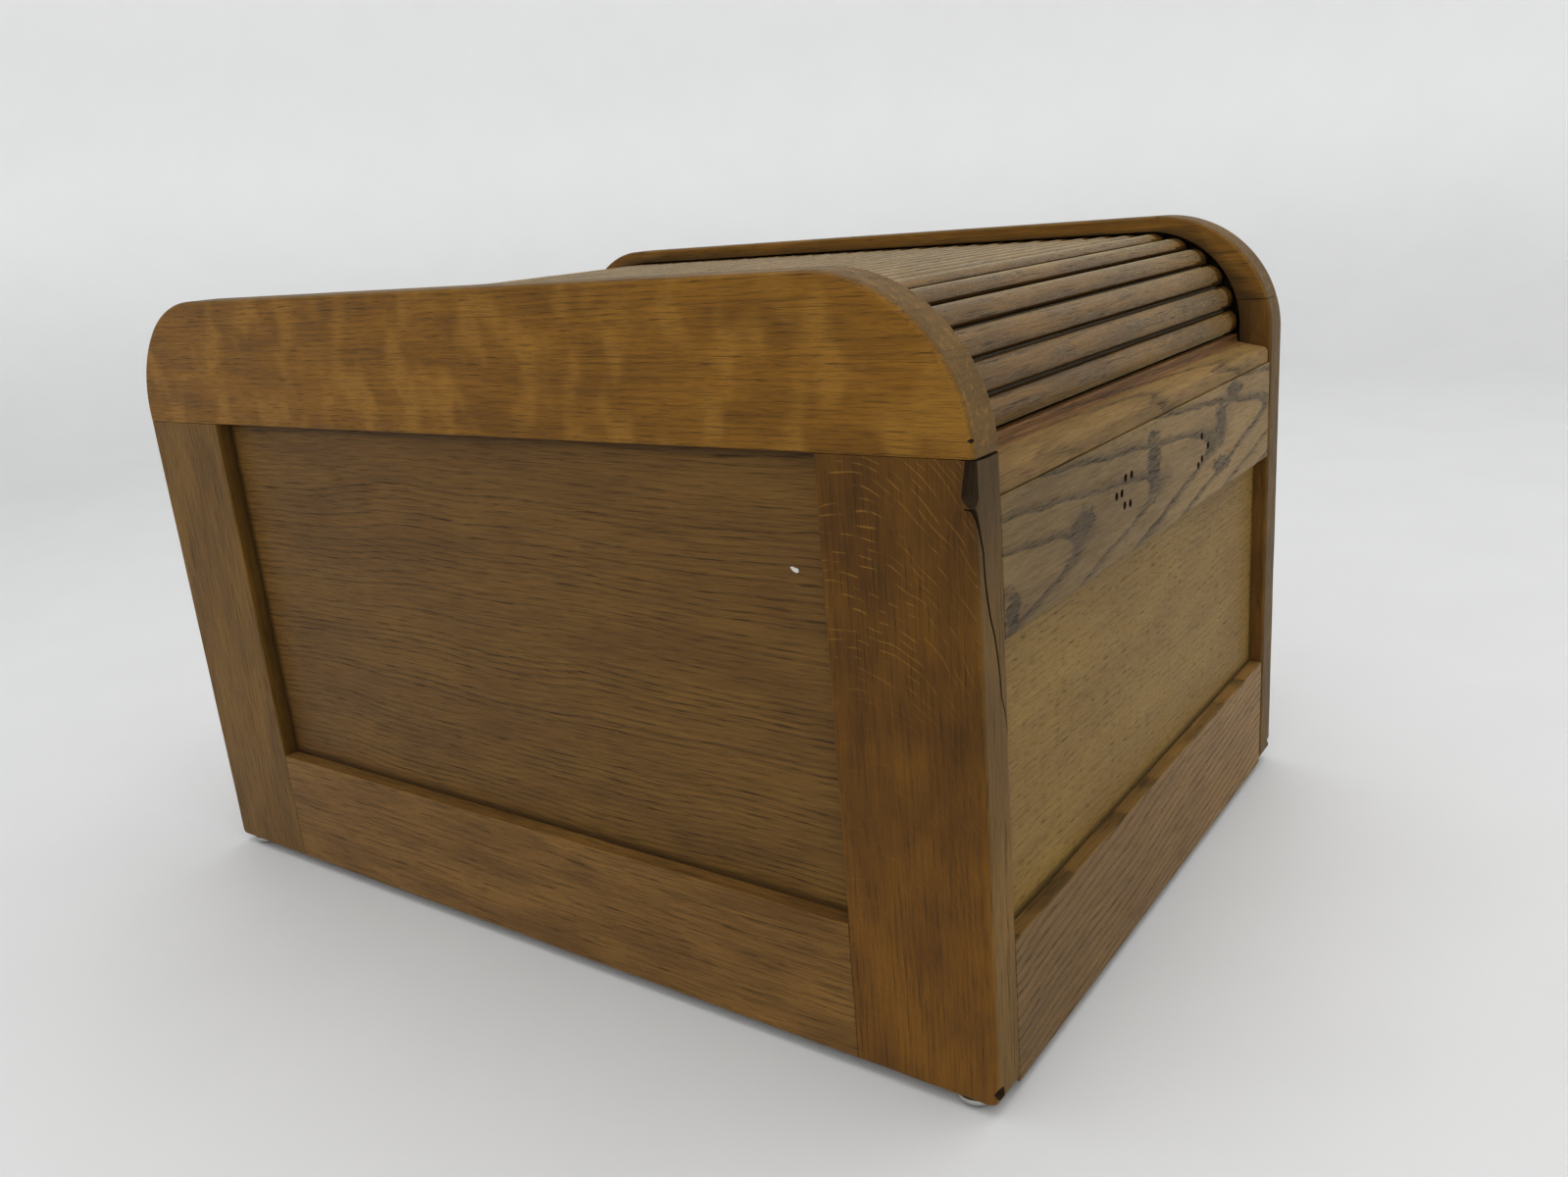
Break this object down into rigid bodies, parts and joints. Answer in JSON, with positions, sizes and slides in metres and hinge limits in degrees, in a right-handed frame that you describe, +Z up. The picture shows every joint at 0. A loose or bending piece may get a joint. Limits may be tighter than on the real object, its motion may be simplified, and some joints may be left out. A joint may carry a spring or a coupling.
{
  "type": "bread box with roll top",
  "caption": "Oak box with panelled sides and a tambour of half-round slats that rolls up and back in side grooves to open the front.",
  "frame": {"origin": "on the surface the box stands on, under the middle of its footprint", "axes": "-Y is the front with the lift rail, +X the right-hand side, +Z up"},
  "size_m": [0.35, 0.48, 0.3045],
  "materials": {
    "frame_oak": "aged oiled oak, golden brown",
    "panel_oak": "aged oak, dark brown",
    "front_oak": "aged oak, grey brown",
    "slat_oak": "aged oak, worn grey brown",
    "inner_wood": "plain unfinished wood",
    "canvas": "unbleached linen canvas",
    "steel": "nickel-plated steel"
  },
  "bodies": {
    "box": {"back_board": "panel_oak", "bottom_board": "inner_wood", "front_bottom_rail": "front_oak", "front_panel": "front_oak", "front_top_rail": "front_oak", "glide_front_left": "steel", "glide_front_right": "steel", "glide_rear_left": "steel", "glide_rear_right": "steel", "inner_back_board": "inner_wood", "left_bottom_rail": "frame_oak", "left_front_stile": "frame_oak", "left_panel": "panel_oak", "left_rear_stile": "frame_oak", "left_top_rail": "frame_oak", "right_bottom_rail": "frame_oak", "right_front_stile": "frame_oak", "right_panel": "panel_oak", "right_rear_stile": "frame_oak", "right_top_rail": "frame_oak"},
    "tambour_top": {"tambour_slat_07": "slat_oak", "tambour_slat_08": "slat_oak", "tambour_slat_09": "slat_oak", "tambour_slat_10": "slat_oak", "tambour_slat_11": "slat_oak", "tambour_slat_12": "slat_oak", "tambour_slat_13": "slat_oak", "tambour_slat_14": "slat_oak", "tambour_slat_15": "slat_oak", "tambour_slat_16": "slat_oak", "tambour_slat_17": "slat_oak", "tambour_slat_18": "slat_oak", "tambour_slat_19": "slat_oak", "tambour_slat_20": "slat_oak", "tambour_slat_21": "slat_oak", "tambour_slat_22": "slat_oak", "tambour_slat_23": "slat_oak", "tambour_slat_24": "slat_oak", "tambour_slat_25": "slat_oak", "tambour_slat_26": "slat_oak", "tambour_slat_27": "slat_oak", "tambour_slat_28": "slat_oak", "tambour_slat_29": "slat_oak", "tambour_canvas": "canvas"},
    "lift_rail": {"lift_rail": "front_oak"},
    "slat_01": {"tambour_slat_01": "slat_oak"},
    "slat_02": {"tambour_slat_02": "slat_oak"},
    "slat_03": {"tambour_slat_03": "slat_oak"},
    "slat_04": {"tambour_slat_04": "slat_oak"},
    "slat_05": {"tambour_slat_05": "slat_oak"},
    "slat_06": {"tambour_slat_06": "slat_oak"},
    "slat_30": {"tambour_slat_30": "slat_oak"},
    "slat_31": {"tambour_slat_31": "slat_oak"},
    "slat_32": {"tambour_slat_32": "slat_oak"},
    "slat_33": {"tambour_slat_33": "slat_oak"},
    "slat_34": {"tambour_slat_34": "slat_oak"},
    "slat_35": {"tambour_slat_35": "slat_oak"},
    "slat_36": {"tambour_slat_36": "slat_oak"},
    "slat_37": {"tambour_slat_37": "slat_oak"},
    "slat_38": {"tambour_slat_38": "slat_oak"}
  },
  "joints": [
    {"name": "tambour_slide", "type": "slide", "parent": "box", "child": "tambour_top", "axis": [0, 1, 0], "range_m": [0, 0.058]},
    {"name": "lift_rail_turn", "type": "hinge", "parent": "box", "child": "lift_rail", "pos_m": [0, -0.1644, 0.24175], "axis": [-1, 0, 0], "range_deg": [0, 60.28]},
    {"name": "slat_01_turn", "type": "hinge", "parent": "box", "child": "slat_01", "pos_m": [0, -0.1743, 0.2475], "axis": [-1, 0, 0], "range_deg": [0, 75.19]},
    {"name": "slat_02_turn", "type": "hinge", "parent": "box", "child": "slat_02", "pos_m": [0, -0.17254, 0.24502], "axis": [-1, 0, 0], "range_deg": [0, 70.63]},
    {"name": "slat_03_turn", "type": "hinge", "parent": "box", "child": "slat_03", "pos_m": [0, -0.16629, 0.23192], "axis": [-1, 0, 0], "range_deg": [0, 54.42]},
    {"name": "slat_04_turn", "type": "hinge", "parent": "box", "child": "slat_04", "pos_m": [0, -0.16004, 0.20633], "axis": [-1, 0, 0], "range_deg": [0, 38.22]},
    {"name": "slat_05_turn", "type": "hinge", "parent": "box", "child": "slat_05", "pos_m": [0, -0.15379, 0.14203], "axis": [-1, 0, 0], "range_deg": [0, 22.01]},
    {"name": "slat_06_turn", "type": "hinge", "parent": "box", "child": "slat_06", "pos_m": [0, -0.14754, -0.28018], "axis": [-1, 0, 0], "range_deg": [0, 5.81]},
    {"name": "slat_30_turn", "type": "hinge", "parent": "box", "child": "slat_30", "pos_m": [0, 0.14951, -1.51248], "axis": [-1, 0, 0], "range_deg": [0, 1.85]},
    {"name": "slat_31_turn", "type": "hinge", "parent": "box", "child": "slat_31", "pos_m": [0, 0.15576, 0.1087], "axis": [-1, 0, 0], "range_deg": [0, 18.05]},
    {"name": "slat_32_turn", "type": "hinge", "parent": "box", "child": "slat_32", "pos_m": [0, 0.16201, 0.19625], "axis": [-1, 0, 0], "range_deg": [0, 34.25]},
    {"name": "slat_33_turn", "type": "hinge", "parent": "box", "child": "slat_33", "pos_m": [0, 0.16826, 0.22725], "axis": [-1, 0, 0], "range_deg": [0, 50.46]},
    {"name": "slat_34_turn", "type": "hinge", "parent": "box", "child": "slat_34", "pos_m": [0, 0.17451, 0.2425], "axis": [-1, 0, 0], "range_deg": [0, 66.66]},
    {"name": "slat_35_turn", "type": "hinge", "parent": "box", "child": "slat_35", "pos_m": [0, 0.1778, 0.2475], "axis": [-1, 0, 0], "range_deg": [0, 75.19]},
    {"name": "slat_36_turn", "type": "hinge", "parent": "box", "child": "slat_36", "pos_m": [0, 0.17243, 0.244], "axis": [-1, 0, 0], "range_deg": [0, 66.13]},
    {"name": "slat_37_turn", "type": "hinge", "parent": "box", "child": "slat_37", "pos_m": [0, 0.15686, 0.23775], "axis": [-1, 0, 0], "range_deg": [0, 49.92]},
    {"name": "slat_38_turn", "type": "hinge", "parent": "box", "child": "slat_38", "pos_m": [0, 0.12501, 0.2315], "axis": [-1, 0, 0], "range_deg": [0, 33.72]}
  ],
  "couplings": [
    {"joint": "lift_rail_turn", "follows": "tambour_slide", "rad_per_m": 18.139},
    {"joint": "slat_01_turn", "follows": "tambour_slide", "rad_per_m": 22.624},
    {"joint": "slat_02_turn", "follows": "tambour_slide", "rad_per_m": 21.251},
    {"joint": "slat_03_turn", "follows": "tambour_slide", "rad_per_m": 16.375},
    {"joint": "slat_04_turn", "follows": "tambour_slide", "rad_per_m": 11.499},
    {"joint": "slat_05_turn", "follows": "tambour_slide", "rad_per_m": 6.6232},
    {"joint": "slat_06_turn", "follows": "tambour_slide", "rad_per_m": 1.7472},
    {"joint": "slat_30_turn", "follows": "tambour_slide", "rad_per_m": 0.55422},
    {"joint": "slat_31_turn", "follows": "tambour_slide", "rad_per_m": 5.4302},
    {"joint": "slat_32_turn", "follows": "tambour_slide", "rad_per_m": 10.306},
    {"joint": "slat_33_turn", "follows": "tambour_slide", "rad_per_m": 15.182},
    {"joint": "slat_34_turn", "follows": "tambour_slide", "rad_per_m": 20.058},
    {"joint": "slat_35_turn", "follows": "tambour_slide", "rad_per_m": 22.624},
    {"joint": "slat_36_turn", "follows": "tambour_slide", "rad_per_m": 19.897},
    {"joint": "slat_37_turn", "follows": "tambour_slide", "rad_per_m": 15.021},
    {"joint": "slat_38_turn", "follows": "tambour_slide", "rad_per_m": 10.145}
  ]
}
